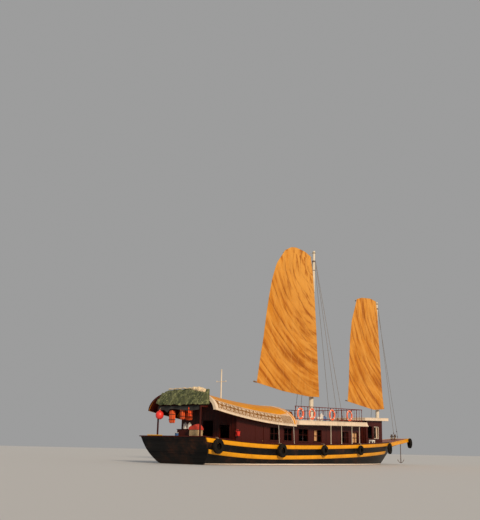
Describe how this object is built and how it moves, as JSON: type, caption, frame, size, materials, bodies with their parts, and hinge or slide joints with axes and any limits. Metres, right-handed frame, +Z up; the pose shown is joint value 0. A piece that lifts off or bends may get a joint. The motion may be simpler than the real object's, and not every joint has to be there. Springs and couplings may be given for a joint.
{
  "type": "chinese junk ship",
  "caption": "Wooden junk with raked masts and battened sails, a barrel-roofed after cabin, a railed sun deck, a wheelhouse and a beak platform at the bow.",
  "frame": {"origin": "on the waterline, amidships, 13 m ahead of the top of the transom", "axes": "+X to the bow, +Y to port, +Z up"},
  "size_m": [28.1081, 6.0416, 16.7532],
  "materials": {
    "tar": "black tar paint",
    "yellow_paint": "yellow gloss paint, worn",
    "mahogany": "varnished dark red",
    "cream_paint": "cream paint, stained",
    "orange_roof": "orange-yellow paint",
    "spar": "oiled",
    "sailcloth": "orange-tan canvas",
    "rope": "hemp rope",
    "galvanised": "galvanised, rusty",
    "bronze": "cast",
    "rubber": "weathered",
    "lifebuoy": "orange with white bands",
    "tarpaulin": "green waxed sheet",
    "drum_blue": "blue plastic"
  },
  "bodies": {
    "ship": {"aft_roof": "orange_roof", "aft_roof_gable": "cream_paint", "anchor": "galvanised", "bitts_aft": "galvanised", "bitts_fore": "galvanised", "bow_platform": "yellow_paint", "bulwark_port": "tar", "bulwark_starboard": "tar", "cap_rail": "mahogany", "flagpole": "cream_paint", "fore_mast": "cream_paint", "fore_stays": "rope", "helm_pedestal": "mahogany", "hull": "tar", "keel": "tar", "lifebuoy_port_1": "lifebuoy", "lifebuoy_port_2": "lifebuoy", "lifebuoy_starboard_1": "lifebuoy", "lifebuoy_starboard_2": "lifebuoy", "lifebuoy_starboard_3": "lifebuoy", "lifebuoy_starboard_4": "lifebuoy", "lower_wale_port": "yellow_paint", "lower_wale_starboard": "yellow_paint", "main_mast": "cream_paint", "main_stays": "rope", "saloon_bulkhead_aft": "mahogany", "saloon_bulkhead_fore": "mahogany", "saloon_wall_port": "mahogany", "saloon_wall_starboard": "mahogany", "stern_frame": "mahogany", "sun_deck": "cream_paint", "sun_deck_rail": "mahogany", "tarpaulin": "tarpaulin", "transom": "tar", "tyre_bow": "rubber", "tyre_port_1": "rubber", "tyre_port_2": "rubber", "tyre_starboard_1": "rubber", "tyre_starboard_2": "rubber", "tyre_starboard_3": "rubber", "tyre_starboard_4": "rubber", "tyre_starboard_5": "rubber", "upper_wale_port": "yellow_paint", "upper_wale_starboard": "yellow_paint", "water_drum": "drum_blue", "wheelhouse_roof": "cream_paint", "wheelhouse_walls": "mahogany"},
    "main_rig": {"main_sail": "sailcloth", "main_yard": "spar", "main_boom": "spar"},
    "fore_rig": {"fore_sail": "sailcloth", "fore_yard": "spar", "fore_boom": "spar"},
    "rudder": {"rudder": "tar"},
    "propeller": {"propeller": "bronze"},
    "helm": {"helm_wheel": "spar"},
    "side_door": {"saloon_side_door": "mahogany"},
    "fore_door": {"saloon_fore_door": "mahogany"},
    "wheelhouse_door": {"wheelhouse_door": "mahogany"},
    "hatch": {"hatch_lid": "mahogany"}
  },
  "joints": [
    {"name": "main_rig_swing", "type": "hinge", "parent": "ship", "child": "main_rig", "pos_m": [0.87, 0, 0], "axis": [0.036, 0, 0.9994], "range_deg": [-45, 45]},
    {"name": "fore_rig_swing", "type": "hinge", "parent": "ship", "child": "fore_rig", "pos_m": [10.445, 0, 0], "axis": [0.036, 0, 0.9994], "range_deg": [-45, 45]},
    {"name": "rudder_turn", "type": "hinge", "parent": "ship", "child": "rudder", "pos_m": [-10.65, 0, 0], "axis": [0, 0, 1], "range_deg": [-35, 35]},
    {"name": "propeller_spin", "type": "hinge", "parent": "ship", "child": "propeller", "pos_m": [-10.02, 0, -0.84], "axis": [1, 0, 0], "continuous": true},
    {"name": "helm_turn", "type": "hinge", "parent": "ship", "child": "helm", "pos_m": [8.45, 0, 1.9], "axis": [1, 0, 0], "range_deg": [-545, 545]},
    {"name": "side_door_swing", "type": "hinge", "parent": "ship", "child": "side_door", "pos_m": [-8.138, -2.098, 0], "axis": [0, 0, 1], "range_deg": [0, 90]},
    {"name": "fore_door_swing", "type": "hinge", "parent": "ship", "child": "fore_door", "pos_m": [4.098, 0.408, 0], "axis": [0, 0, 1], "range_deg": [-90, 0]},
    {"name": "wheelhouse_door_swing", "type": "hinge", "parent": "ship", "child": "wheelhouse_door", "pos_m": [6.551, -1.038, 0], "axis": [0, 0, 1], "range_deg": [0, 100]},
    {"name": "hatch_lid_lift", "type": "hinge", "parent": "ship", "child": "hatch", "pos_m": [4.885, 0, 1.13], "axis": [0, -1, 0], "range_deg": [0, 95]}
  ],
  "couplings": [
    {"joint": "helm_turn", "follows": "rudder_turn", "ratio": 15.429}
  ]
}
